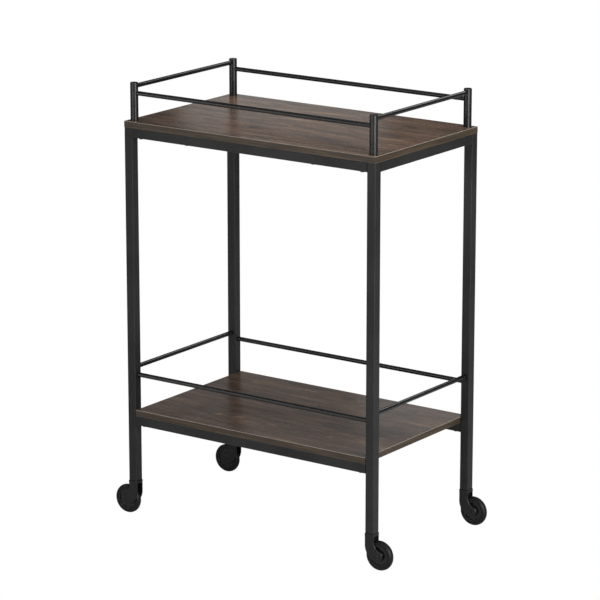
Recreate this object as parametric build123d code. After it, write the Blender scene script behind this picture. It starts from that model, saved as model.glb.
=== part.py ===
from build123d import *
from math import atan2, degrees, sqrt
import os

# Two-tier bar cart on four swivel casters.
# +X runs along the cart's length to its right end, -Y is the front, +Z is up.
# The origin is on the floor under the middle of the cart. Millimetres throughout.

# Overall sizes
WIDTH = 596.9  # length of the boards' frame along X
DEPTH = 355.6  # depth of both boards along Y
HEIGHT = 889.0  # floor to the tops of the guard posts
GUARD_HEIGHT = 76.2  # guard posts above the top board
LOWER_RAIL_CLEARANCE = 191.5  # floor to the underside of the lower rails

# Boards
BOARD_THICKNESS = 12.7
EDGING_THICKNESS = 0.8
EDGING_ROUND = 0.5
BOARD_TO_LEG_GAP = 0.7  # each end of the lower board
BOARD_SCREW_SKIN = 3.7  # board left above the tip of a board screw

# Square tube of the legs and rails
TUBE = 19.05
TUBE_WALL = 1.2
TUBE_CORNER = 1.5
TUBE_INNER_CORNER = 0.4
RAIL_TO_LEG_GAP = 0.3  # each end of a bolted rail
LEG_PLATE_THICKNESS = 3.0

# Spigots welded to the legs, and the screws that hold the long rails on them
SPIGOT_REACH = 32.0
SPIGOT_WALL = 2.0
SPIGOT_CLEARANCE = 0.2
SPIGOT_CORNER = 1.0
RAIL_SCREW_RADIUS = 2.5
RAIL_SCREW_HEAD_RADIUS = 4.75
RAIL_SCREW_HEAD_HEIGHT = 2.6
RAIL_SCREW_PROUD = 3.0  # thread showing above the spigot's wall
RAIL_SCREW_HOLE_CLEARANCE = 0.25

# Board screws, driven up through the rails
BOARD_SCREW_RADIUS = 2.0
BOARD_SCREW_HEAD_RADIUS = 4.0
BOARD_SCREW_HEAD_HEIGHT = 2.2
BOARD_SCREW_HOLE_CLEARANCE = 0.3
TOP_SCREW_SPACING = 300.0
LOWER_SCREW_SPACING = 360.0
SCREW_SOCKET_RADIUS = 1.5
SCREW_SOCKET_DEPTH = 1.4

# Rounds and chamfers of turned metal parts, as shares of their own size
HEAD_ROUND_SHARE = 0.6  # of a screw head's or stem head's height
TIP_CHAMFER_SHARE = 0.4  # of a screw's radius
STUD_CHAMFER_SHARE = 0.3  # of a stud's radius
AXLE_DOME_SHARE = 0.8  # of an axle head's height

# Guard posts
POST_DIAMETER = 15.9
POST_WALL = 1.2
POST_STUD_RADIUS = 2.5
POST_STUD_HOLE_CLEARANCE = 0.5
POST_STUD_PROUD = 3.0  # stud showing below the leg's top plate
POST_STUD_BITE = 10.0
POST_STUD_GAP_X = 1.05  # stud to the inner faces of the leg
POST_STUD_GAP_Y = 0.25
POST_INSERT_HEIGHT = 12.0
CAP_THICKNESS = 1.4
CAP_PLUG = 1.0
CAP_ROUND = 0.9

# Guard rods
ROD_DIAMETER = 9.1
ROD_WALL = 1.0
ROD_CLEARANCE = 0.15
ROD_ENTRY = 0.5  # rod past the wall of a post
ROD_LEG_ENTRY = 2.0  # rod past the wall of a leg
ROD_TO_CAP_GAP = 0.65
ROD_CROSSING_GAP = 4.4
LOWER_ROD_HEIGHT = 72.15  # axis of the long rods above the lower board

# Casters
WHEEL_DIAMETER = 59.5
TRAIL = 19.05
WHEEL_TO_PLATE_GAP = 7.9
YOKE_PLATE_THICKNESS = 5.0
YOKE_PLATE_HALF = 10.5
YOKE_ARM_HALF = 10.3  # outer faces of the arms from the swivel axis
YOKE_ARM_THICKNESS = 2.6
YOKE_END_RADIUS = 11.0  # rounded end of an arm about the axle
YOKE_BACK_CURVE_RISE = 19.25  # start of the curve above the axle
YOKE_FRONT_CURVE_RISE = 28.25
YOKE_ROUND = 2.0
YOKE_TOP_CHAMFER = 0.4
SWIVEL_GAP = 0.6  # yoke plate to socket
SOCKET_FLANGE = 1.5
SOCKET_CLEARANCE = 0.1
SOCKET_HEIGHT = 40.0
STEM_RADIUS = 4.0
STEM_LENGTH = 36.0
STEM_CHAMFER = 1.0
STEM_COLLAR_RADIUS = 6.5
STEM_COLLAR_HEIGHT = 0.5
STEM_HEAD_RADIUS = 5.5
STEM_HEAD_HEIGHT = 1.6
STEM_GROOVE_HEIGHT = 2.2
STEM_GROOVE_DEPTH = 0.6
STEM_GROOVE_BELOW_TIP = 8.0
RING_SIDE_CLEARANCE = 0.15
RING_THICKNESS = 1.2
RING_SPLIT = 3.0
RUNNING_CLEARANCE = 0.05
AXLE_RADIUS = 2.5
AXLE_HEAD_RADIUS = 3.6
AXLE_HEAD_HEIGHT = 1.0

# Wheels
HUB_CLEARANCE = 0.3  # hub to the inner face of an arm
HUB_RADIUS = 9.0
TYRE_DEPTH = 8.5
TYRE_HALF_WIDTH = 6.8
TYRE_CROWN = 3.5
TYRE_ROUND = 1.0
RIM_HALF_WIDTH = 6.4
RIM_LIP = 2.6
DISH_HALF_WIDTH = 4.0
DISH_SLOPE = 1.2
WHEEL_ROUND = 0.5

# Heights and places that follow from the values above
TOP_BOARD_TOP = HEIGHT - GUARD_HEIGHT
FRAME_TOP = TOP_BOARD_TOP - BOARD_THICKNESS
TOP_RAIL_Z = FRAME_TOP - TUBE / 2
LOWER_RAIL_Z = LOWER_RAIL_CLEARANCE + TUBE / 2
LOWER_BOARD_BOTTOM = LOWER_RAIL_CLEARANCE + TUBE
LOWER_BOARD_TOP = LOWER_BOARD_BOTTOM + BOARD_THICKNESS
LEG_X = (WIDTH - TUBE) / 2
LEG_Y = (DEPTH - TUBE) / 2
TUBE_BORE = TUBE - 2 * TUBE_WALL
SPAN_X = WIDTH - 2 * TUBE
SPAN_Y = DEPTH - 2 * TUBE

POST_RADIUS = POST_DIAMETER / 2
POST_BORE = POST_RADIUS - POST_WALL
POST_X = WIDTH / 2 - (TUBE - TUBE_WALL - POST_STUD_RADIUS - POST_STUD_GAP_X)
POST_Y = DEPTH / 2 - (TUBE - TUBE_WALL - POST_STUD_RADIUS - POST_STUD_GAP_Y)
POST_TOP = HEIGHT - CAP_THICKNESS
BOARD_SCREW_BITE = BOARD_THICKNESS - BOARD_SCREW_SKIN

ROD_RADIUS = ROD_DIAMETER / 2
ROD_HOLE_RADIUS = ROD_RADIUS + ROD_CLEARANCE
ROD_STEP = ROD_DIAMETER + ROD_CROSSING_GAP
TOP_SHORT_ROD_Z = POST_TOP - CAP_PLUG - ROD_TO_CAP_GAP - ROD_RADIUS
TOP_LONG_ROD_Z = TOP_SHORT_ROD_Z - ROD_STEP
LOWER_LONG_ROD_Z = LOWER_BOARD_TOP + LOWER_ROD_HEIGHT
LOWER_SHORT_ROD_Z = LOWER_LONG_ROD_Z + ROD_STEP
ROD_END_IN_POST = sqrt(POST_BORE**2 - ROD_HOLE_RADIUS**2) - ROD_ENTRY
ROD_LENGTH_IN_LEGS = 2 * (TUBE_WALL + ROD_LEG_ENTRY)

WHEEL_RADIUS = WHEEL_DIAMETER / 2
YOKE_TOP = WHEEL_DIAMETER + WHEEL_TO_PLATE_GAP + YOKE_PLATE_THICKNESS
YOKE_PLATE_BOTTOM = YOKE_TOP - YOKE_PLATE_THICKNESS
SOCKET_BOTTOM = YOKE_TOP + SWIVEL_GAP
LEG_BOTTOM = SOCKET_BOTTOM + SOCKET_FLANGE
LEG_TOP = FRAME_TOP - LEG_PLATE_THICKNESS
STEM_TOP = YOKE_TOP + STEM_LENGTH
GROOVE_TOP = STEM_TOP - STEM_GROOVE_BELOW_TIP
RING_INNER_RADIUS = STEM_RADIUS - STEM_GROOVE_DEPTH + RUNNING_CLEARANCE
RING_OUTER_RADIUS = RING_INNER_RADIUS + RING_THICKNESS
RIM_RADIUS = WHEEL_RADIUS - TYRE_DEPTH

SIDES = {"left": -1, "right": 1}
ENDS = {"front": -1, "rear": 1}
CORNERS = {
    f"{end}_{side}": (sx, sy) for end, sy in ENDS.items() for side, sx in SIDES.items()
}
ACROSS = {"X": Plane.YZ, "Y": Plane.XZ, "Z": Plane.XY}


def export(node, shape):
    export_step(shape, f"parts/{node}.step")


def group(shapes):
    """Separate solids that share one node."""
    return Compound(children=[solid for shape in shapes for solid in shape.solids()])


def bar(axis, profile, length):
    """A profile extruded along an axis, centred on the origin."""
    return extrude(ACROSS[axis] * profile, length / 2, both=True)


def square_section(size, wall, corner, inner_corner):
    outer = RectangleRounded(size, size, corner)
    return outer - RectangleRounded(size - 2 * wall, size - 2 * wall, inner_corner)


def tube(axis, length):
    section = square_section(TUBE, TUBE_WALL, TUBE_CORNER, TUBE_INNER_CORNER)
    return bar(axis, section, length)


def pin(axis, radius, length):
    return bar(axis, Circle(radius), length)


def upright(radius, bottom, top):
    """A round bar along Z between two heights."""
    return Pos(0, 0, (bottom + top) / 2) * pin("Z", radius, top - bottom)


def at_corners(x, y, z, make):
    """One piece at each corner; make takes the signs of X and Y."""
    return [Pos(sx * x, sy * y, z) * make(sx, sy) for sx, sy in CORNERS.values()]


# ---------------------------------------------------------------- frame


def leg(sx, sy):
    height = LEG_TOP - LEG_BOTTOM
    body = Pos(0, 0, LEG_BOTTOM + height / 2) * tube("Z", height)
    reach = TUBE / 2
    long_hole = pin("X", ROD_HOLE_RADIUS, reach)
    short_hole = pin("Y", ROD_HOLE_RADIUS, reach)
    body -= Pos(-sx * reach, 0, LOWER_LONG_ROD_Z) * long_hole
    body -= Pos(0, -sy * reach, LOWER_SHORT_ROD_Z) * short_hole
    return Pos(sx * LEG_X, sy * LEG_Y, 0) * body


def leg_top_plate(sx, sy):
    """Plate welded on top of a leg, tapped for a guard post's stud."""
    section = RectangleRounded(TUBE, TUBE, TUBE_CORNER)
    plate = bar("Z", section, LEG_PLATE_THICKNESS)
    hole = pin("Z", POST_STUD_RADIUS, 2 * LEG_PLATE_THICKNESS)
    return plate - Pos(sx * (POST_X - LEG_X), sy * (POST_Y - LEG_Y), 0) * hole


def board_screw_holes(axis, places):
    radius = BOARD_SCREW_RADIUS + BOARD_SCREW_HOLE_CLEARANCE
    hole = pin("Z", radius, 2 * TUBE)
    return [Pos(p, 0, 0) * hole if axis == "X" else Pos(0, p, 0) * hole for p in places]


def long_rail(screw_spacing):
    """Bolted rail along X, open at both ends to slide over the legs' spigots."""
    rail = tube("X", SPAN_X - 2 * RAIL_TO_LEG_GAP)
    hole_radius = RAIL_SCREW_RADIUS + RAIL_SCREW_HOLE_CLEARANCE
    for sx in SIDES.values():
        hole = pin("Z", hole_radius, TUBE)
        rail -= Pos(sx * (SPAN_X - SPIGOT_REACH) / 2, 0, -TUBE / 2) * hole
    for hole in board_screw_holes("X", (-screw_spacing / 2, screw_spacing / 2)):
        rail -= hole
    return rail


def short_rail():
    """Welded rail along Y."""
    rail = tube("Y", SPAN_Y)
    for hole in board_screw_holes("Y", (0,)):
        rail -= hole
    return rail


def spigot(sx, sy):
    """Stub of square tube welded to a leg, tapped in its lower wall."""
    size = TUBE_BORE - 2 * SPIGOT_CLEARANCE
    inner_corner = TUBE_INNER_CORNER
    section = square_section(size, SPIGOT_WALL, SPIGOT_CORNER, inner_corner)
    body = bar("X", section, SPIGOT_REACH)
    return body - Pos(0, 0, -size / 2) * pin("Z", RAIL_SCREW_RADIUS, size)


def screw(radius, length, head_radius, head_height):
    """Round-headed screw pointing up, with its head below z = 0."""
    head = Pos(0, 0, -head_height / 2) * pin("Z", head_radius, head_height)
    head = fillet(head.edges().sort_by(Axis.Z)[0], head_height * HEAD_ROUND_SHARE)
    socket = RegularPolygon(SCREW_SOCKET_RADIUS, 6)
    drive = extrude(Pos(0, 0, -head_height) * socket, SCREW_SOCKET_DEPTH)
    shank = upright(radius, 0, length)
    shank = chamfer(shank.edges().sort_by(Axis.Z)[-1], radius * TIP_CHAMFER_SHARE)
    return head - drive + shank


def rail_screw(sx, sy):
    reach = TUBE_WALL + SPIGOT_CLEARANCE + SPIGOT_WALL + RAIL_SCREW_PROUD
    head_radius, head_height = RAIL_SCREW_HEAD_RADIUS, RAIL_SCREW_HEAD_HEIGHT
    return screw(RAIL_SCREW_RADIUS, reach, head_radius, head_height)


def board_screw():
    reach = TUBE + BOARD_SCREW_BITE
    head_radius, head_height = BOARD_SCREW_HEAD_RADIUS, BOARD_SCREW_HEAD_HEIGHT
    return screw(BOARD_SCREW_RADIUS, reach, head_radius, head_height)


# ---------------------------------------------------------------- boards


def board(length, depth, thickness, screw_places):
    """A panel less its edging, with a pilot hole for each screw from below."""
    inset = 2 * EDGING_THICKNESS
    panel = Box(length - inset, depth - inset, thickness)
    for x, y in screw_places:
        pilot = upright(BOARD_SCREW_RADIUS, -thickness, BOARD_SCREW_BITE - thickness / 2)
        panel -= Pos(x, y, 0) * pilot
    return panel


def edging(length, depth, thickness):
    """Four strips of edging: the long ones cover the ends of the short ones."""
    strips = []
    for sy in ENDS.values():
        strip = Box(length, EDGING_THICKNESS, thickness)
        outer = strip.faces().sort_by(Axis.Y)[-1 if sy > 0 else 0]
        strip = fillet(outer.edges().filter_by(Axis.X), EDGING_ROUND)
        strips.append(Pos(0, sy * (depth - EDGING_THICKNESS) / 2, 0) * strip)
    for sx in SIDES.values():
        strip = Box(EDGING_THICKNESS, depth - 2 * EDGING_THICKNESS, thickness)
        outer = strip.faces().sort_by(Axis.X)[-1 if sx > 0 else 0]
        strip = fillet(outer.edges().filter_by(Axis.Y), EDGING_ROUND)
        strips.append(Pos(sx * (length - EDGING_THICKNESS) / 2, 0, 0) * strip)
    return group(strips)


def rail_screw_places(spacing):
    return [(sx * spacing / 2, sy * LEG_Y) for sx, sy in CORNERS.values()]


# ---------------------------------------------------------------- guard rails


def guard_post(sx, sy):
    """Round post, drilled on its two inner sides for the guard rods."""
    height = POST_TOP - TOP_BOARD_TOP
    post = upright(POST_RADIUS, TOP_BOARD_TOP, POST_TOP)
    post -= upright(POST_BORE, TOP_BOARD_TOP - height, POST_TOP + height)
    long_hole = pin("X", ROD_HOLE_RADIUS, POST_RADIUS)
    short_hole = pin("Y", ROD_HOLE_RADIUS, POST_RADIUS)
    post -= Pos(-sx * POST_RADIUS, 0, TOP_LONG_ROD_Z) * long_hole
    post -= Pos(0, -sy * POST_RADIUS, TOP_SHORT_ROD_Z) * short_hole
    return Pos(sx * POST_X, sy * POST_Y, 0) * post


def post_cap(sx, sy):
    disc = upright(POST_RADIUS, 0, CAP_THICKNESS)
    disc = fillet(disc.edges().sort_by(Axis.Z)[-1], CAP_ROUND)
    return disc + upright(POST_BORE, -CAP_PLUG, 0)


def post_insert(sx, sy):
    """Tapped plug welded inside the foot of a post."""
    plug = upright(POST_BORE, 0, POST_INSERT_HEIGHT)
    return plug - upright(POST_STUD_RADIUS, -POST_STUD_BITE, POST_STUD_BITE)


def post_stud(sx, sy):
    bottom = -BOARD_THICKNESS - LEG_PLATE_THICKNESS - POST_STUD_PROUD
    stud = upright(POST_STUD_RADIUS, bottom, POST_STUD_BITE)
    ends = stud.edges().filter_by(GeomType.CIRCLE)
    return chamfer(ends, POST_STUD_RADIUS * STUD_CHAMFER_SHARE)


def guard_rod(axis, length):
    return bar(axis, Circle(ROD_RADIUS) - Circle(ROD_RADIUS - ROD_WALL), length)


# ---------------------------------------------------------------- casters
# Each is modelled with its swivel axis on Z and its wheel trailing towards +X.


def caster_socket(sx, sy):
    """Plug in the foot of a leg, bored for the caster's stem."""
    size = TUBE_BORE - 2 * SOCKET_CLEARANCE
    flange = RectangleRounded(TUBE, TUBE, TUBE_CORNER)
    plug = RectangleRounded(size, size, TUBE_INNER_CORNER + SOCKET_CLEARANCE)
    body = extrude(flange, SOCKET_FLANGE) + extrude(plug, SOCKET_HEIGHT)
    body -= upright(STEM_RADIUS + RUNNING_CLEARANCE, -SOCKET_HEIGHT, 2 * SOCKET_HEIGHT)
    top = GROOVE_TOP - RING_SIDE_CLEARANCE - SOCKET_BOTTOM
    bottom = GROOVE_TOP - STEM_GROOVE_HEIGHT + RING_SIDE_CLEARANCE - SOCKET_BOTTOM
    return body - upright(RING_OUTER_RADIUS, bottom, top)


def grip_ring(sx, sy):
    """Split spring ring that sits in the stem's groove and holds it in the socket."""
    height = STEM_GROOVE_HEIGHT - 2 * RING_SIDE_CLEARANCE
    ring = pin("Z", RING_OUTER_RADIUS, height) - pin("Z", RING_INNER_RADIUS, height)
    split = Box(RING_SPLIT, 2 * RING_OUTER_RADIUS, height)
    return ring - Pos(0, RING_OUTER_RADIUS, 0) * split


def caster_stem():
    stem = upright(STEM_RADIUS, YOKE_PLATE_BOTTOM, STEM_TOP)
    stem = chamfer(stem.edges().sort_by(Axis.Z)[-1], STEM_CHAMFER)
    stem += upright(STEM_COLLAR_RADIUS, YOKE_TOP, YOKE_TOP + STEM_COLLAR_HEIGHT)
    head_bottom = YOKE_PLATE_BOTTOM - STEM_HEAD_HEIGHT
    head = upright(STEM_HEAD_RADIUS, head_bottom, YOKE_PLATE_BOTTOM)
    stem += fillet(head.edges().sort_by(Axis.Z)[0], STEM_HEAD_HEIGHT * HEAD_ROUND_SHARE)
    groove = upright(2 * STEM_RADIUS, GROOVE_TOP - STEM_GROOVE_HEIGHT, GROOVE_TOP)
    groove -= pin("Z", STEM_RADIUS - STEM_GROOVE_DEPTH, 2 * STEM_TOP)
    return stem - groove


def arm_outline():
    """Side view of a yoke arm: straight edges at the top that curve round the axle."""
    axle = Vector(TRAIL, WHEEL_RADIUS)
    reach = YOKE_ARM_HALF + TRAIL
    end = YOKE_END_RADIUS
    back_radius = (reach**2 + YOKE_BACK_CURVE_RISE**2 - end**2) / (2 * (reach - end))
    inset = YOKE_ARM_HALF - TRAIL
    front_radius = (inset**2 + YOKE_FRONT_CURVE_RISE**2 - end**2) / (2 * (end - inset))
    back_start = WHEEL_RADIUS + YOKE_BACK_CURVE_RISE
    front_start = WHEEL_RADIUS + YOKE_FRONT_CURVE_RISE
    back_centre = Vector(-YOKE_ARM_HALF + back_radius, back_start)
    front_centre = Vector(YOKE_ARM_HALF + front_radius, front_start)
    back_turn = degrees(atan2(axle.Y - back_centre.Y, axle.X - back_centre.X)) % 360
    front_turn = degrees(atan2(front_centre.Y - axle.Y, front_centre.X - axle.X))
    back = CenterArc(back_centre, back_radius, 180, back_turn - 180)
    tip = CenterArc(axle, end, back_turn, front_turn + 360 - back_turn)
    front = CenterArc(front_centre, front_radius, front_turn + 180, -front_turn)
    top_left, top_right = (-YOKE_ARM_HALF, YOKE_TOP), (YOKE_ARM_HALF, YOKE_TOP)
    sides = Line(top_left, back @ 0) + Line(front @ 1, top_right)
    return make_face(sides + back + tip + front + Line(top_right, top_left))


def caster_yoke():
    outline = Plane.XZ * arm_outline()
    yoke = Pos(0, 0, YOKE_TOP - YOKE_PLATE_THICKNESS / 2) * bar(
        "Z",
        RectangleRounded(2 * YOKE_PLATE_HALF, 2 * YOKE_PLATE_HALF, YOKE_ROUND),
        YOKE_PLATE_THICKNESS,
    )
    yoke = chamfer(yoke.edges().group_by(Axis.Z)[-1], YOKE_TOP_CHAMFER)
    for sy in ENDS.values():
        arm = Pos(0, sy * YOKE_ARM_HALF, 0) * extrude(outline, sy * YOKE_ARM_THICKNESS)
        outer = arm.faces().sort_by(Axis.Y)[-1 if sy > 0 else 0]
        all_but_top = outer.edges().sort_by(Axis.Z)[:-1]
        yoke += fillet(all_but_top, YOKE_ROUND)
    yoke -= upright(STEM_RADIUS, YOKE_PLATE_BOTTOM, YOKE_TOP)
    return yoke - Pos(TRAIL, 0, WHEEL_RADIUS) * pin("Y", AXLE_RADIUS, 4 * YOKE_ARM_HALF)


def caster_axle():
    """Rivet with a domed head on each arm's outer face."""
    axle = pin("Y", AXLE_RADIUS, 2 * YOKE_ARM_HALF)
    for sy in ENDS.values():
        place = sy * (YOKE_ARM_HALF + AXLE_HEAD_HEIGHT / 2)
        head = Pos(0, place, 0) * pin("Y", AXLE_HEAD_RADIUS, AXLE_HEAD_HEIGHT)
        rim = head.edges().sort_by(Axis.Y)[-1 if sy > 0 else 0]
        axle += fillet(rim, AXLE_HEAD_HEIGHT * AXLE_DOME_SHARE)
    return Pos(TRAIL, 0, WHEEL_RADIUS) * axle


def on_axle(profile):
    """A profile of (radius, width) turned about the axle's axis."""
    turned = revolve(Plane.XZ * profile, Axis.Z)
    return Pos(TRAIL, 0, WHEEL_RADIUS) * Rot(90, 0, 0) * turned


def wheel_hub():
    """Moulded wheel: hub, dished disc and rim."""
    hub_half = YOKE_ARM_HALF - YOKE_ARM_THICKNESS - HUB_CLEARANCE
    bore = AXLE_RADIUS + RUNNING_CLEARANCE
    lip = RIM_RADIUS - RIM_LIP
    half = [
        (bore, hub_half),
        (HUB_RADIUS, hub_half),
        (HUB_RADIUS + WHEEL_ROUND, DISH_HALF_WIDTH),
        (lip - DISH_SLOPE, DISH_HALF_WIDTH),
        (lip, RIM_HALF_WIDTH),
        (RIM_RADIUS, RIM_HALF_WIDTH),
    ]
    points = half + [(r, -w) for r, w in reversed(half)]
    return on_axle(make_face(FilletPolyline(*points, radius=WHEEL_ROUND, close=True)))


def wheel_tyre():
    """Tyre with flat sides and a crowned tread."""
    shoulder = WHEEL_RADIUS - TYRE_CROWN
    low, high = -TYRE_HALF_WIDTH, TYRE_HALF_WIDTH
    inside = Polyline((shoulder, high), (RIM_RADIUS, high), (RIM_RADIUS, low), (shoulder, low))
    tread = ThreePointArc((shoulder, low), (WHEEL_RADIUS, 0), (shoulder, high))
    section = make_face(inside + tread)
    return on_axle(fillet(section.vertices(), TYRE_ROUND))


# ---------------------------------------------------------------- assembly

os.makedirs("parts", exist_ok=True)

for corner, (sx, sy) in CORNERS.items():
    export(f"leg_{corner}", leg(sx, sy))
    export(f"guard_post_{corner}", guard_post(sx, sy))

top_plate_z = LEG_TOP + LEG_PLATE_THICKNESS / 2
export("leg_top_plates", group(at_corners(LEG_X, LEG_Y, top_plate_z, leg_top_plate)))

spigot_x = (SPAN_X - SPIGOT_REACH) / 2
for level, z in (("top", TOP_RAIL_Z), ("lower", LOWER_RAIL_Z)):
    spigots = at_corners(spigot_x, LEG_Y, z, spigot)
    screws = at_corners(spigot_x, LEG_Y, z - TUBE / 2, rail_screw)
    export(f"{level}_rail_spigots", group(spigots))
    export(f"{level}_rail_screws", group(screws))

for end, sy in ENDS.items():
    export(f"top_rail_{end}", Pos(0, sy * LEG_Y, TOP_RAIL_Z) * long_rail(TOP_SCREW_SPACING))
    lower_rail = long_rail(LOWER_SCREW_SPACING)
    export(f"lower_rail_{end}", Pos(0, sy * LEG_Y, LOWER_RAIL_Z) * lower_rail)
for side, sx in SIDES.items():
    export(f"top_rail_{side}", Pos(sx * LEG_X, 0, TOP_RAIL_Z) * short_rail())

top_places = rail_screw_places(TOP_SCREW_SPACING) + [(-LEG_X, 0), (LEG_X, 0)]
lower_places = rail_screw_places(LOWER_SCREW_SPACING)
top_board = board(WIDTH, DEPTH, BOARD_THICKNESS, top_places)
stud_hole = pin("Z", POST_STUD_RADIUS + POST_STUD_HOLE_CLEARANCE, 2 * BOARD_THICKNESS)
for hole in at_corners(POST_X, POST_Y, 0, lambda sx, sy: stud_hole):
    top_board -= hole
lower_length = SPAN_X - 2 * BOARD_TO_LEG_GAP
lower_board = board(lower_length, DEPTH, BOARD_THICKNESS, lower_places)
top_middle = Pos(0, 0, FRAME_TOP + BOARD_THICKNESS / 2)
lower_middle = Pos(0, 0, LOWER_BOARD_BOTTOM + BOARD_THICKNESS / 2)
export("top_board", top_middle * top_board)
export("top_board_edging", top_middle * edging(WIDTH, DEPTH, BOARD_THICKNESS))
export("lower_board", lower_middle * lower_board)
export("lower_board_edging", lower_middle * edging(lower_length, DEPTH, BOARD_THICKNESS))
for level, places, z in (
    ("top", top_places, FRAME_TOP - TUBE),
    ("lower", lower_places, LOWER_RAIL_CLEARANCE),
):
    export(f"{level}_board_screws", group([Pos(x, y, z) * board_screw() for x, y in places]))

export("post_caps", group(at_corners(POST_X, POST_Y, POST_TOP, post_cap)))
export("post_inserts", group(at_corners(POST_X, POST_Y, TOP_BOARD_TOP, post_insert)))
export("post_studs", group(at_corners(POST_X, POST_Y, TOP_BOARD_TOP, post_stud)))

for end, sy in ENDS.items():
    top_rod = guard_rod("X", 2 * (POST_X - ROD_END_IN_POST))
    lower_rod = guard_rod("X", SPAN_X + ROD_LENGTH_IN_LEGS)
    export(f"top_rod_{end}", Pos(0, sy * POST_Y, TOP_LONG_ROD_Z) * top_rod)
    export(f"lower_rod_{end}", Pos(0, sy * LEG_Y, LOWER_LONG_ROD_Z) * lower_rod)
for side, sx in SIDES.items():
    top_rod = guard_rod("Y", 2 * (POST_Y - ROD_END_IN_POST))
    lower_rod = guard_rod("Y", SPAN_Y + ROD_LENGTH_IN_LEGS)
    export(f"top_rod_{side}", Pos(sx * POST_X, 0, TOP_SHORT_ROD_Z) * top_rod)
    export(f"lower_rod_{side}", Pos(sx * LEG_X, 0, LOWER_SHORT_ROD_Z) * lower_rod)

export("caster_sockets", group(at_corners(LEG_X, LEG_Y, SOCKET_BOTTOM, caster_socket)))
ring_z = GROOVE_TOP - STEM_GROOVE_HEIGHT / 2
export("grip_rings", group(at_corners(LEG_X, LEG_Y, ring_z, grip_ring)))
for corner, (sx, sy) in CORNERS.items():
    # the wheels trail outwards, to the nearer end of the cart
    place = Pos(sx * LEG_X, sy * LEG_Y, 0) * Rot(0, 0, 0 if sx > 0 else 180)
    export(f"caster_stem_{corner}", place * caster_stem())
    export(f"caster_yoke_{corner}", place * caster_yoke())
    export(f"caster_axle_{corner}", place * caster_axle())
    export(f"wheel_hub_{corner}", place * wheel_hub())
    export(f"wheel_tyre_{corner}", place * wheel_tyre())
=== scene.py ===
import math

import bpy
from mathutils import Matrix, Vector

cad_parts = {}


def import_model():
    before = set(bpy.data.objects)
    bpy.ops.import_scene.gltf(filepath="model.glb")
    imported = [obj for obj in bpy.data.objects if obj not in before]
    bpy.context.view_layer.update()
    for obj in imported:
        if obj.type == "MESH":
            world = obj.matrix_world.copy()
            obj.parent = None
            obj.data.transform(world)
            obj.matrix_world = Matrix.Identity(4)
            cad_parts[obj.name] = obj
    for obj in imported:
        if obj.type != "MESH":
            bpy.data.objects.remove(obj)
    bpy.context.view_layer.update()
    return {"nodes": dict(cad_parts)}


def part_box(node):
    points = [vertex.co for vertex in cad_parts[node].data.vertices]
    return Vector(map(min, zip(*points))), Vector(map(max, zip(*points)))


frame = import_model()
scene = bpy.context.scene
MM = 0.001
WHITE = (1, 1, 1, 1)

CORNERS = [f"{end}_{side}" for end in ("front", "rear") for side in ("left", "right")]
BOARDS = ("top_board", "lower_board")


# ---------------------------------------------------------------- shader helpers


class Nodes:
    """The node tree of a material or a world, with a short call for each kind of node."""

    def __init__(self, owner):
        owner.use_nodes = True
        self.tree = owner.node_tree

    def node(self, kind, inputs=None, **settings):
        made = self.tree.nodes.new(kind)
        for name, value in settings.items():
            setattr(made, name, value)
        for name, value in (inputs or {}).items():
            self.feed(made.inputs[name], value)
        return made

    def feed(self, socket, value):
        if isinstance(value, bpy.types.NodeSocket):
            self.tree.links.new(value, socket)
        else:
            socket.default_value = value

    def math(self, operation, *values):
        made = self.node("ShaderNodeMath", operation=operation)
        for socket, value in zip(made.inputs, values):
            self.feed(socket, value)
        return made.outputs[0]

    def join(self, x, y, z):
        return self.node("ShaderNodeCombineXYZ", {"X": x, "Y": y, "Z": z}).outputs[0]

    def scaled(self, value, factor, offset=0.0):
        return self.math("MULTIPLY_ADD", value, factor, offset)

    def step(self, value, low, high, below=0.0, above=1.0):
        """One value under low, another over high, and smooth in between."""
        inputs = {"Value": value, "From Min": low, "From Max": high}
        inputs.update({"To Min": below, "To Max": above})
        made = self.node("ShaderNodeMapRange", inputs, interpolation_type="SMOOTHSTEP")
        return made.outputs[0]

    def show(self, output, lighting, shown):
        """Light comes from one shader, and the camera sees the other."""
        seen = self.node("ShaderNodeLightPath").outputs["Is Camera Ray"]
        choice = self.node("ShaderNodeMixShader", {0: seen, 1: lighting, 2: shown})
        self.feed(self.tree.nodes[output].inputs["Surface"], choice.outputs[0])


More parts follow.
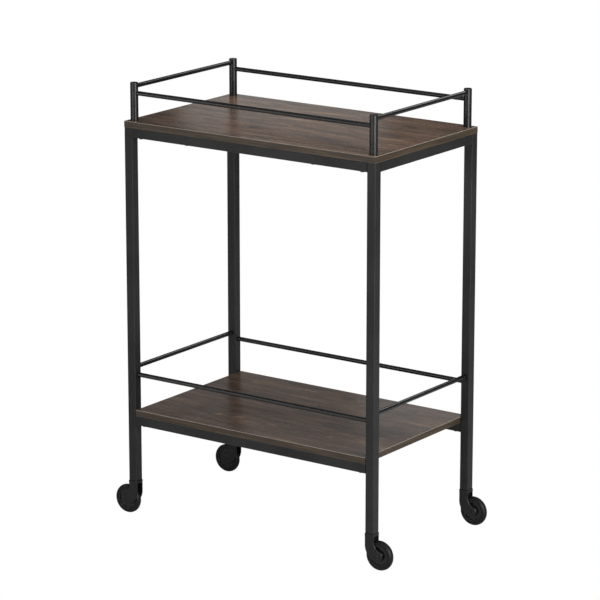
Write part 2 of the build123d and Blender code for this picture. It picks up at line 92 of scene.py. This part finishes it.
class Shader(Nodes):
    """One material. Its coordinates are the cart's own, in metres."""

    def __init__(self, name):
        self.material = bpy.data.materials.new(name)
        super().__init__(self.material)
        self.bsdf = self.tree.nodes["Principled BSDF"]
        self.place = self.node("ShaderNodeTexCoord").outputs["Object"]
        parts = self.node("ShaderNodeSeparateXYZ", {"Vector": self.place})
        self.x, self.y, self.z = parts.outputs

    def set(self, **values):
        """Values of the shader's own sockets, named with _ for a space."""
        for name, value in values.items():
            self.feed(self.bsdf.inputs[name.replace("_", " ")], value)

    def spot(self, vector, middle, radii):
        """1 at the middle of an ellipse, falling smoothly to 0 at its rim."""
        size = tuple(1 / r for r in radii)
        shift = tuple(-m / r for m, r in zip(middle, radii))
        inside = self.node("ShaderNodeVectorMath", operation="MULTIPLY_ADD")
        for socket, value in zip(inside.inputs, (vector, size, shift)):
            self.feed(socket, value)
        length = self.node("ShaderNodeVectorMath", {0: inside.outputs[0]}, operation="LENGTH")
        return self.math("SUBTRACT", 1.0, self.step(length.outputs["Value"], 0.0, 1.0))

    def noise(self, vector, scale=1.0, detail=2.0, roughness=0.5, distortion=0.0):
        inputs = {"Vector": vector, "Scale": scale, "Detail": detail}
        inputs.update({"Roughness": roughness, "Distortion": distortion})
        return self.node("ShaderNodeTexNoise", inputs).outputs[0]

    def mix(self, factor, a, b):
        made = self.node("ShaderNodeMix", data_type="RGBA")
        for index, value in ((0, factor), (6, a), (7, b)):
            self.feed(made.inputs[index], value)
        return made.outputs[2]

    def ramp(self, factor, *stops):
        made = self.node("ShaderNodeValToRGB", {"Fac": factor})
        elements = made.color_ramp.elements
        while len(elements) < len(stops):
            elements.new(0.5)
        for element, (position, colour) in zip(elements, stops):
            element.position, element.color = position, colour
        return made.outputs[0]

    def bump(self, *layers):
        """Each layer is a height, its distance in metres and its strength."""
        normal = None
        for height, distance, strength in layers:
            inputs = {"Height": height, "Distance": distance, "Strength": strength}
            if normal is not None:
                inputs["Normal"] = normal
            normal = self.node("ShaderNodeBump", inputs).outputs[0]
        self.set(Normal=normal)


def rgb(red, green, blue):
    """Linear colour with alpha, from 8-bit sRGB values."""
    def linear(value):
        value /= 255
        return value / 12.92 if value <= 0.04045 else ((value + 0.055) / 1.055) ** 2.4
    return (linear(red), linear(green), linear(blue), 1.0)


def shade(colour, factor):
    """The same colour, darker or lighter."""
    return tuple(factor * channel for channel in colour[:3]) + (1.0,)


def dress(node, material):
    slots = frame["nodes"][node].data.materials
    slots.clear()
    slots.append(material)


# ---------------------------------------------------------------- wood

# Scales of noise are in steps per metre.
KNOT_SQUASH = 0.42  # what a distance along the grain counts for, against one across it
KNOT_CORE = 0.45  # share of a knot's size within which its pull levels off
MARK_STRENGTH = 1.3


def grain_line(shader, knots):
    """Coordinate across the grain: lines along X that flow round each knot, an x, y and size in m."""
    x, y = shader.x, shader.y
    slow = shader.noise(shader.join(shader.scaled(x, 1.6), shader.scaled(y, 4.0), shader.z))
    line = shader.math("ADD", y, shader.scaled(slow, 0.07, -0.035))
    for knot_x, knot_y, size in knots:
        dx = shader.scaled(x, KNOT_SQUASH, -KNOT_SQUASH * knot_x)
        dy = shader.math("SUBTRACT", y, knot_y)
        near = shader.math("MULTIPLY_ADD", dx, dx, (KNOT_CORE * size) ** 2)
        near = shader.math("MULTIPLY_ADD", dy, dy, near)
        pull = shader.math("DIVIDE", shader.scaled(dy, size * size), near)
        line = shader.math("SUBTRACT", line, pull)
    return line


def walnut(name, knots, seed, marks, painted_sheen):
    """Walnut print under a satin film.

    Each mark is an ellipse: the x and y of its middle, its half length and half width in mm, and
    how much lighter it is. The last argument lays a share of grey over the whole board, a painted
    sheen standing in for the pale veil that reflected light gives that board.
    """
    s = Shader(name)
    line = grain_line(s, knots)

    def along(x_scale, line_scale, **settings):
        vector = s.join(s.scaled(s.x, x_scale), s.scaled(line, line_scale), seed)
        return s.noise(vector, **settings)

    broad = along(2.6, 15, detail=2)
    streak = along(8, 56, detail=4, roughness=0.62, distortion=0.3)
    fibre = along(24, 420, detail=3, roughness=0.7)
    ring = s.math("ADD", s.scaled(line, 560), s.scaled(along(4, 30, detail=2), 10))
    ring = s.math("POWER", s.scaled(s.math("SINE", ring), 0.5, 0.5), 2.5)
    pores = s.noise(s.join(s.scaled(s.x, 75), s.scaled(s.y, 1500), seed), detail=1)
    pore = s.step(pores, 0.60, 0.70)

    # the outline of a mark is ragged, because it follows the wander of the grain
    ragged = s.join(
        s.math("ADD", s.x, s.scaled(along(30, 60, detail=2), 0.030, -0.015)),
        s.math("ADD", s.y, s.scaled(along(26, 110, detail=2), 0.016, -0.008)),
        0.0,
    )
    vein = s.step(along(17, 150, detail=3, roughness=0.6, distortion=0.4), 0.54, 0.68)
    tone = 0.52
    for layer, middle, strength in (
        (broad, 0.5, 0.9),
        (streak, 0.5, 1.35),
        (fibre, 0.5, 0.8),
        (vein, 0.3, -0.17),
        (ring, 0.3, -0.12),
    ):
        tone = s.math("ADD", s.scaled(layer, strength, -strength * middle), tone)
    for x, y, half_length, half_width, lighter in marks:
        middle, radii = (x * MM, y * MM, 0.0), (half_length * MM, half_width * MM, 1.0)
        spot = s.spot(ragged, middle, radii)
        tone = s.math("MULTIPLY_ADD", spot, MARK_STRENGTH * lighter, tone)
    colour = s.ramp(
        tone,
        (0.16, rgb(64, 49, 41)),
        (0.40, rgb(94, 71, 56)),
        (0.55, rgb(112, 86, 67)),
        (0.75, rgb(136, 106, 84)),
        (0.98, rgb(172, 139, 114)),
    )
    grey = s.step(along(5, 34, detail=2), 0.50, 0.72)
    # grey patches at random on both boards, plus the board's given share of grey all over, which is a
    # painted sheen
    colour = s.mix(s.scaled(grey, 0.5, painted_sheen), colour, rgb(88, 79, 75))
    colour = s.mix(s.scaled(pore, 0.5), colour, rgb(48, 37, 31))
    s.set(
        Base_Color=colour,
        Roughness=s.math("MULTIPLY_ADD", streak, -0.08, s.scaled(fibre, -0.08, 0.34)),
        Specular_IOR_Level=0.4,
    )
    s.bump((fibre, 0.04 * MM, 0.4), (pore, 0.05 * MM, -0.5))
    return s.material


def edging(name, node):
    """Printed edging tape: its grain runs along each strip. Its top rim is a painted highlight, paler
    where the rounded edge catches light, and a fainter pale line runs along its bottom rim.
    """
    s = Shader(name)
    low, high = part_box(node)
    end_strip = high.x - 0.9 * MM  # just inside the strips on the ends, which run along Y
    on_end = s.math("GREATER_THAN", s.math("ABSOLUTE", s.x), end_strip)
    run_x = s.math("MULTIPLY", s.x, s.math("SUBTRACT", 1.0, on_end))
    run = s.math("ADD", s.math("MULTIPLY", s.y, on_end), run_x)

    def along(run_scale, z_scale, **settings):
        vector = s.join(s.scaled(run, run_scale), s.scaled(s.z, z_scale), on_end)
        return s.noise(vector, **settings)

    streak = along(9, 260, detail=3, roughness=0.6, distortion=0.4)
    fibre = along(30, 1500, detail=2)
    tone = s.math("MULTIPLY_ADD", streak, 0.8, s.scaled(fibre, 0.25))
    colour = s.ramp(
        tone,
        (0.35, rgb(38, 29, 21)),
        (0.55, rgb(58, 47, 35)),
        (0.75, rgb(83, 69, 52)),
    )
    # painted highlight: the top millimetre of the tape is made paler, standing in for light caught on
    # the rounded edge; the bottom rim gets a fainter pale line
    painted_top_highlight = s.step(s.z, high.z - 1.1 * MM, high.z - 0.4 * MM)
    low_rim = s.math("SUBTRACT", 1.0, s.step(s.z, low.z + 0.3 * MM, low.z + 0.7 * MM))
    pale_rims_and_highlight = s.math("MULTIPLY_ADD", painted_top_highlight, 0.75, s.scaled(low_rim, 0.3))
    colour = s.mix(pale_rims_and_highlight, colour, rgb(158, 149, 136))
    s.set(
        Base_Color=colour,
        Roughness=s.scaled(streak, 0.12, 0.42),
        Specular_IOR_Level=0.4,
    )
    s.bump((fibre, 0.05 * MM, 0.5))
    return s.material


# ---------------------------------------------------------------- metal, plastic and rubber

WEAR_AND_HIGHLIGHT_REACH = 1.5 * MM


def wear_and_corner_highlight(s, node, axes, reach):
    """1 on the long edges of a bar whose box is the node's, falling to 0 within reach."""
    low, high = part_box(node)
    total = 0.0
    for axis in axes:
        place = (s.x, s.y, s.z)[axis]
        middle, half = (low[axis] + high[axis]) / 2, (high[axis] - low[axis]) / 2
        off = s.math("ABSOLUTE", s.math("SUBTRACT", place, middle))
        total = s.math("ADD", s.math("SUBTRACT", half, off), total)
    return s.math("SUBTRACT", 1.0, s.step(total, 0.5 * reach, reach))


def powder_coat(name, tone, roughness, node=None, axes=(), specular=0.25):
    """Black powder coat with orange peel. Given a bar and the axes across it, its corners are lighter
    in patches: rubbed wear, and a painted highlight along the rounded corners.
    """
    s = Shader(name)
    peel = s.noise(s.place, scale=900, detail=2)
    grit = s.noise(s.place, scale=2600, detail=1)
    cloud = s.noise(s.place, scale=9, detail=3)
    colour = s.ramp(cloud, (0.35, shade(tone, 0.72)), (0.55, tone), (0.75, shade(tone, 1.35)))
    speck = s.step(grit, 0.66, 0.74)
    colour = s.mix(s.scaled(speck, 0.15), colour, rgb(86, 86, 88))
    if axes:
        # lighter patches along the bar's corners: rubbed wear, and also a painted highlight where the
        # rounded corners catch light
        patches = s.step(s.noise(s.place, scale=55, detail=4), 0.42, 0.62)
        rubbed_and_highlight = s.math("MULTIPLY", wear_and_corner_highlight(s, node, axes, WEAR_AND_HIGHLIGHT_REACH), patches)
        colour = s.mix(s.scaled(rubbed_and_highlight, 0.08), colour, rgb(92, 92, 94))
    s.set(
        Base_Color=colour,
        Roughness=s.math("MULTIPLY_ADD", cloud, 0.10, s.scaled(speck, -0.06, roughness - 0.05)),
        Specular_IOR_Level=specular,
    )
    s.bump((peel, 0.06 * MM, 0.16), (grit, 0.02 * MM, 0.12))
    return s.material


def moulded(name, tone, roughness, specular):
    """Moulded plastic or rubber: spark-eroded texture with scuffs."""
    s = Shader(name)
    grain = s.noise(s.place, scale=1900, detail=2)
    flow = s.noise(s.place, scale=45, detail=3, distortion=0.6)
    scuff = s.step(s.noise(s.place, scale=210, detail=5, roughness=0.7), 0.60, 0.72)
    colour = s.ramp(flow, (0.35, shade(tone, 0.75)), (0.70, tone))
    colour = s.mix(s.scaled(scuff, 0.3), colour, rgb(74, 74, 76))
    s.set(
        Base_Color=colour,
        Roughness=s.math("MULTIPLY_ADD", scuff, 0.15, s.scaled(flow, 0.08, roughness - 0.04)),
        Specular_IOR_Level=specular,
    )
    s.bump((grain, 0.05 * MM, 0.35), (scuff, 0.02 * MM, 0.3))
    return s.material


def bare_metal(name, tone, roughness):
    """Plated or blackened steel, with fine turning lines and stains."""
    s = Shader(name)
    lines = s.noise(s.join(s.scaled(s.x, 60), s.scaled(s.y, 60), s.scaled(s.z, 2600)), detail=2)
    stain = s.noise(s.place, scale=160, detail=4)
    colour = s.ramp(stain, (0.35, shade(tone, 0.6)), (0.65, tone))
    s.set(
        Base_Color=colour,
        Metallic=1.0,
        Roughness=s.math("MULTIPLY_ADD", lines, 0.15, s.scaled(stain, 0.12, roughness)),
    )
    s.bump((lines, 0.02 * MM, 0.4))
    return s.material


# ---------------------------------------------------------------- dressing the nodes

BLACK = rgb(34, 34, 34)

top_knots = [
    (-0.158, 0.133, 0.011),
    (0.187, 0.095, 0.012),
    (-0.205, -0.066, 0.013),
    (-0.160, -0.070, 0.010),
    (-0.043, -0.082, 0.010),
    (0.110, -0.090, 0.012),
]
lower_knots = [
    (-0.128, -0.102, 0.010),
    (-0.083, -0.100, 0.011),
    (0.007, -0.103, 0.011),
    (0.147, -0.105, 0.010),
    (0.032, 0.135, 0.013),
    (0.182, 0.133, 0.011),
    (0.247, -0.005, 0.010),
]
top_marks = [
    (-153, 130, 34, 11, -0.34),
    (189, 98, 20, 10, -0.36),
    (-208, -37, 40, 13, -0.22),
    (-173, -72, 46, 14, -0.34),
    (-48, -82, 24, 13, -0.30),
    (127, -92, 70, 18, -0.20),
    (-248, 18, 50, 15, -0.20),
    (-38, -25, 80, 8, 0.30),
    (-18, 30, 90, 10, 0.20),
    (-248, 123, 50, 11, 0.20),
    (142, 128, 50, 14, 0.18),
    (227, -22, 60, 16, 0.20),
    (-38, -107, 60, 10, 0.26),
    (60, -140, 90, 9, 0.18),
]
lower_marks = [
    (27, 138, 28, 13, -0.40),
    (177, 133, 24, 10, -0.34),
    (247, -5, 11, 7, -0.50),
    (-78, -27, 95, 13, -0.20),
    (97, -32, 70, 13, -0.20),
    (-128, -102, 16, 9, 0.42),
    (-83, -97, 19, 9, 0.46),
    (5, -102, 13, 8, 0.42),
    (147, -107, 9, 6, 0.46),
    (17, -67, 70, 8, 0.30),
    (87, -62, 60, 7, 0.28),
    (172, -72, 60, 7, 0.30),
    (232, 68, 60, 7, 0.40),
    (-38, 58, 60, 9, 0.24),
    (-198, 123, 26, 10, 0.22),
    (-153, -7, 24, 9, 0.20),
]
dress("top_board", walnut("walnut_top", top_knots, 3.0, top_marks, painted_sheen=0.0))
# the lower board's quarter share of grey all over is a painted sheen
dress("lower_board", walnut("walnut_lower", lower_knots, 7.5, lower_marks, painted_sheen=0.25))
for level in ("top", "lower"):
    dress(f"{level}_board_edging", edging(f"edging_{level}", f"{level}_board_edging"))

# each square bar, with the two axes across it
bars = {f"leg_{corner}": (0, 1) for corner in CORNERS}
bars.update({f"{level}_rail_{end}": (1, 2) for level in ("top", "lower") for end in ("front", "rear")})
bars.update({f"top_rail_{side}": (0, 2) for side in ("left", "right")})
for node, axes in bars.items():
    dress(node, powder_coat(f"coat_{node}", BLACK, 0.42, node, axes))

round_coat = powder_coat("coat_round", rgb(17, 17, 18), 0.27, specular=0.55)
hidden_coat = powder_coat("coat_hidden", BLACK, 0.5)
for node in [f"guard_post_{corner}" for corner in CORNERS] + ["post_caps"]:
    dress(node, round_coat)
for level in ("top", "lower"):
    for place in ("front", "rear", "left", "right"):
        dress(f"{level}_rod_{place}", round_coat)
for node in ("leg_top_plates", "top_rail_spigots", "lower_rail_spigots", "post_inserts"):
    dress(node, hidden_coat)

screw_black = bare_metal("black_oxide", rgb(60, 60, 62), 0.38)
zinc = bare_metal("zinc_plate", rgb(196, 197, 200), 0.26)
socket_plastic = moulded("moulded_nylon", rgb(19, 19, 20), 0.38, specular=0.35)
wheel_plastic = moulded("moulded_wheel", rgb(17, 17, 18), 0.30, specular=0.45)
rubber = moulded("tyre_rubber", rgb(17, 17, 18), 0.48, specular=0.22)
for node in ("top_rail_screws", "lower_rail_screws", "top_board_screws", "lower_board_screws"):
    dress(node, screw_black)
for node in ("post_studs", "grip_rings"):
    dress(node, zinc)
dress("caster_sockets", socket_plastic)
for corner in CORNERS:
    dress(f"caster_stem_{corner}", zinc)
    dress(f"caster_yoke_{corner}", socket_plastic)
    dress(f"caster_axle_{corner}", screw_black)
    dress(f"wheel_hub_{corner}", wheel_plastic)
    dress(f"wheel_tyre_{corner}", rubber)


# ---------------------------------------------------------------- floor, light and camera

HORIZON_LIGHT, ZENITH_LIGHT = 0.05, 0.12
HORIZON_HEIGHT, ZENITH_HEIGHT = 0.15, 0.6  # sine of the elevation where each one is reached
FLOOR_HALF = 15.0
FLOOR_GREY = (0.65, 0.65, 0.65, 1)
VIEW_AZIMUTH, VIEW_ELEVATION = 35.43, 14.49  # degrees, from the photo
VIEW_DISTANCE, VIEW_TARGET = 6.304, (-0.0004, 0.0, 0.4558)
VIEW_LENS, SENSOR = 190.4, 36.0


def from_view(right, back, height):
    """A place given as the camera sees it: metres right of the cart, behind it, and up."""
    turn = math.radians(VIEW_AZIMUTH)
    return (
        right * math.cos(turn) - back * math.sin(turn),
        right * math.sin(turn) + back * math.cos(turn),
        height,
    )


def floor():
    """A pale floor that bounces light onto the cart and is plain white to the camera."""
    mesh = bpy.data.meshes.new("studio_floor")
    corners = [(FLOOR_HALF * x, FLOOR_HALF * y, 0) for x, y in ((-1, -1), (1, -1), (1, 1), (-1, 1))]
    mesh.from_pydata(corners, [], [(0, 1, 2, 3)])
    made = bpy.data.objects.new("studio_floor", mesh)
    scene.collection.objects.link(made)
    s = Shader("studio_floor")
    s.set(Base_Color=FLOOR_GREY, Roughness=0.9, Specular_IOR_Level=0.1)
    glow = s.node("ShaderNodeEmission", {"Color": WHITE, "Strength": 1.0})
    s.show("Material Output", lighting=s.bsdf.outputs[0], shown=glow.outputs[0])
    mesh.materials.append(s.material)


def shining(name, pieces, state):
    """Pieces that a light reaches alone, for INCLUDE, or leaves out, for EXCLUDE."""
    group = bpy.data.collections.new(name)
    for piece in pieces:
        group.objects.link(frame["nodes"][piece])
    for entry in group.collection_objects:
        entry.light_linking.link_state = state
    return group


def softbox(name, place, target, width, height, power, reach=None):
    data = bpy.data.lights.new(name, "AREA")
    data.shape, data.size, data.size_y, data.energy = "RECTANGLE", width, height, power
    made = bpy.data.objects.new(name, data)
    made.location = place
    made.rotation_mode = "QUATERNION"
    made.rotation_quaternion = (Vector(place) - Vector(target)).to_track_quat("Z", "Y")
    made.light_linking.receiver_collection = reach
    scene.collection.objects.link(made)


def world():
    """A white backdrop that lights the cart from above more than from the horizon."""
    made = bpy.data.worlds.new("studio")
    w = Nodes(made)
    sky = w.tree.nodes["Background"]
    backdrop = w.node("ShaderNodeBackground", {"Color": WHITE})
    direction = w.node("ShaderNodeTexCoord").outputs["Generated"]
    height = w.node("ShaderNodeSeparateXYZ", {"Vector": direction}).outputs["Z"]
    w.feed(sky.inputs["Color"], WHITE)
    w.feed(
        sky.inputs["Strength"],
        w.step(height, HORIZON_HEIGHT, ZENITH_HEIGHT, HORIZON_LIGHT, ZENITH_LIGHT),
    )
    w.show("World Output", lighting=sky.outputs[0], shown=backdrop.outputs[0])
    scene.world = made


def camera():
    data = bpy.data.cameras.new("camera")
    data.lens, data.sensor_width = VIEW_LENS, SENSOR
    data.clip_start, data.clip_end = 0.1, 100.0
    made = bpy.data.objects.new("camera", data)
    turn, rise = math.radians(VIEW_AZIMUTH), math.radians(VIEW_ELEVATION)
    back = Vector((
        math.sin(turn) * math.cos(rise), -math.cos(turn) * math.cos(rise), math.sin(rise)
    ))
    made.location = Vector(VIEW_TARGET) + VIEW_DISTANCE * back
    made.rotation_mode = "QUATERNION"
    made.rotation_quaternion = back.to_track_quat("Z", "Y")
    scene.collection.objects.link(made)
    scene.camera = made


floor()
world()
# A softbox beside the cart shows in the boards as a white patch from the far side, so the side ones
# leave the boards out, and a higher one lights them alone. That one still shows from the rear left.
no_boards = shining("no_boards", BOARDS, "EXCLUDE")
boards_only = shining("boards_only", BOARDS, "INCLUDE")
softbox("front", from_view(-1.98, -2.27, 1.0), (0, 0, 0.5), 1.2, 1.0, 25, no_boards)
softbox("front_left", from_view(-2.76, -0.98, 0.95), (0, 0, 0.5), 0.8, 0.9, 7, no_boards)
softbox("front_right", from_view(1.6, -2.4, 1.2), (0, 0, 0.4), 1.4, 1.4, 97, no_boards)
softbox("board_key", from_view(1.6, -2.4, 2.3), (0, 0, 0.5), 2.0, 2.0, 66, boards_only)
softbox("sheen_top", from_view(-0.04, 1.5, 0.99), (0, 0, 0.81), 0.5, 0.22, 0.24)
softbox("sheen_low", from_view(0.42, 2.2, 0.76), (0.2, 0, 0.22), 0.5, 0.5, 0.5)
softbox("sheen_low_left", from_view(-0.35, 2.2, 0.76), (-0.1, 0, 0.22), 0.9, 0.4, 0.26)
softbox("top", (0, 0, 3.0), (0, 0, 0), 2.0, 2.0, 18)
softbox("back_right", from_view(2.2, 2.6, 2.6), (0, 0, 0.4), 1.4, 1.4, 22, no_boards)
softbox("back_left", from_view(-2.8, 1.4, 2.4), (0, 0, 0.4), 1.2, 1.2, 14, no_boards)
camera()
scene.view_settings.view_transform = "Standard"
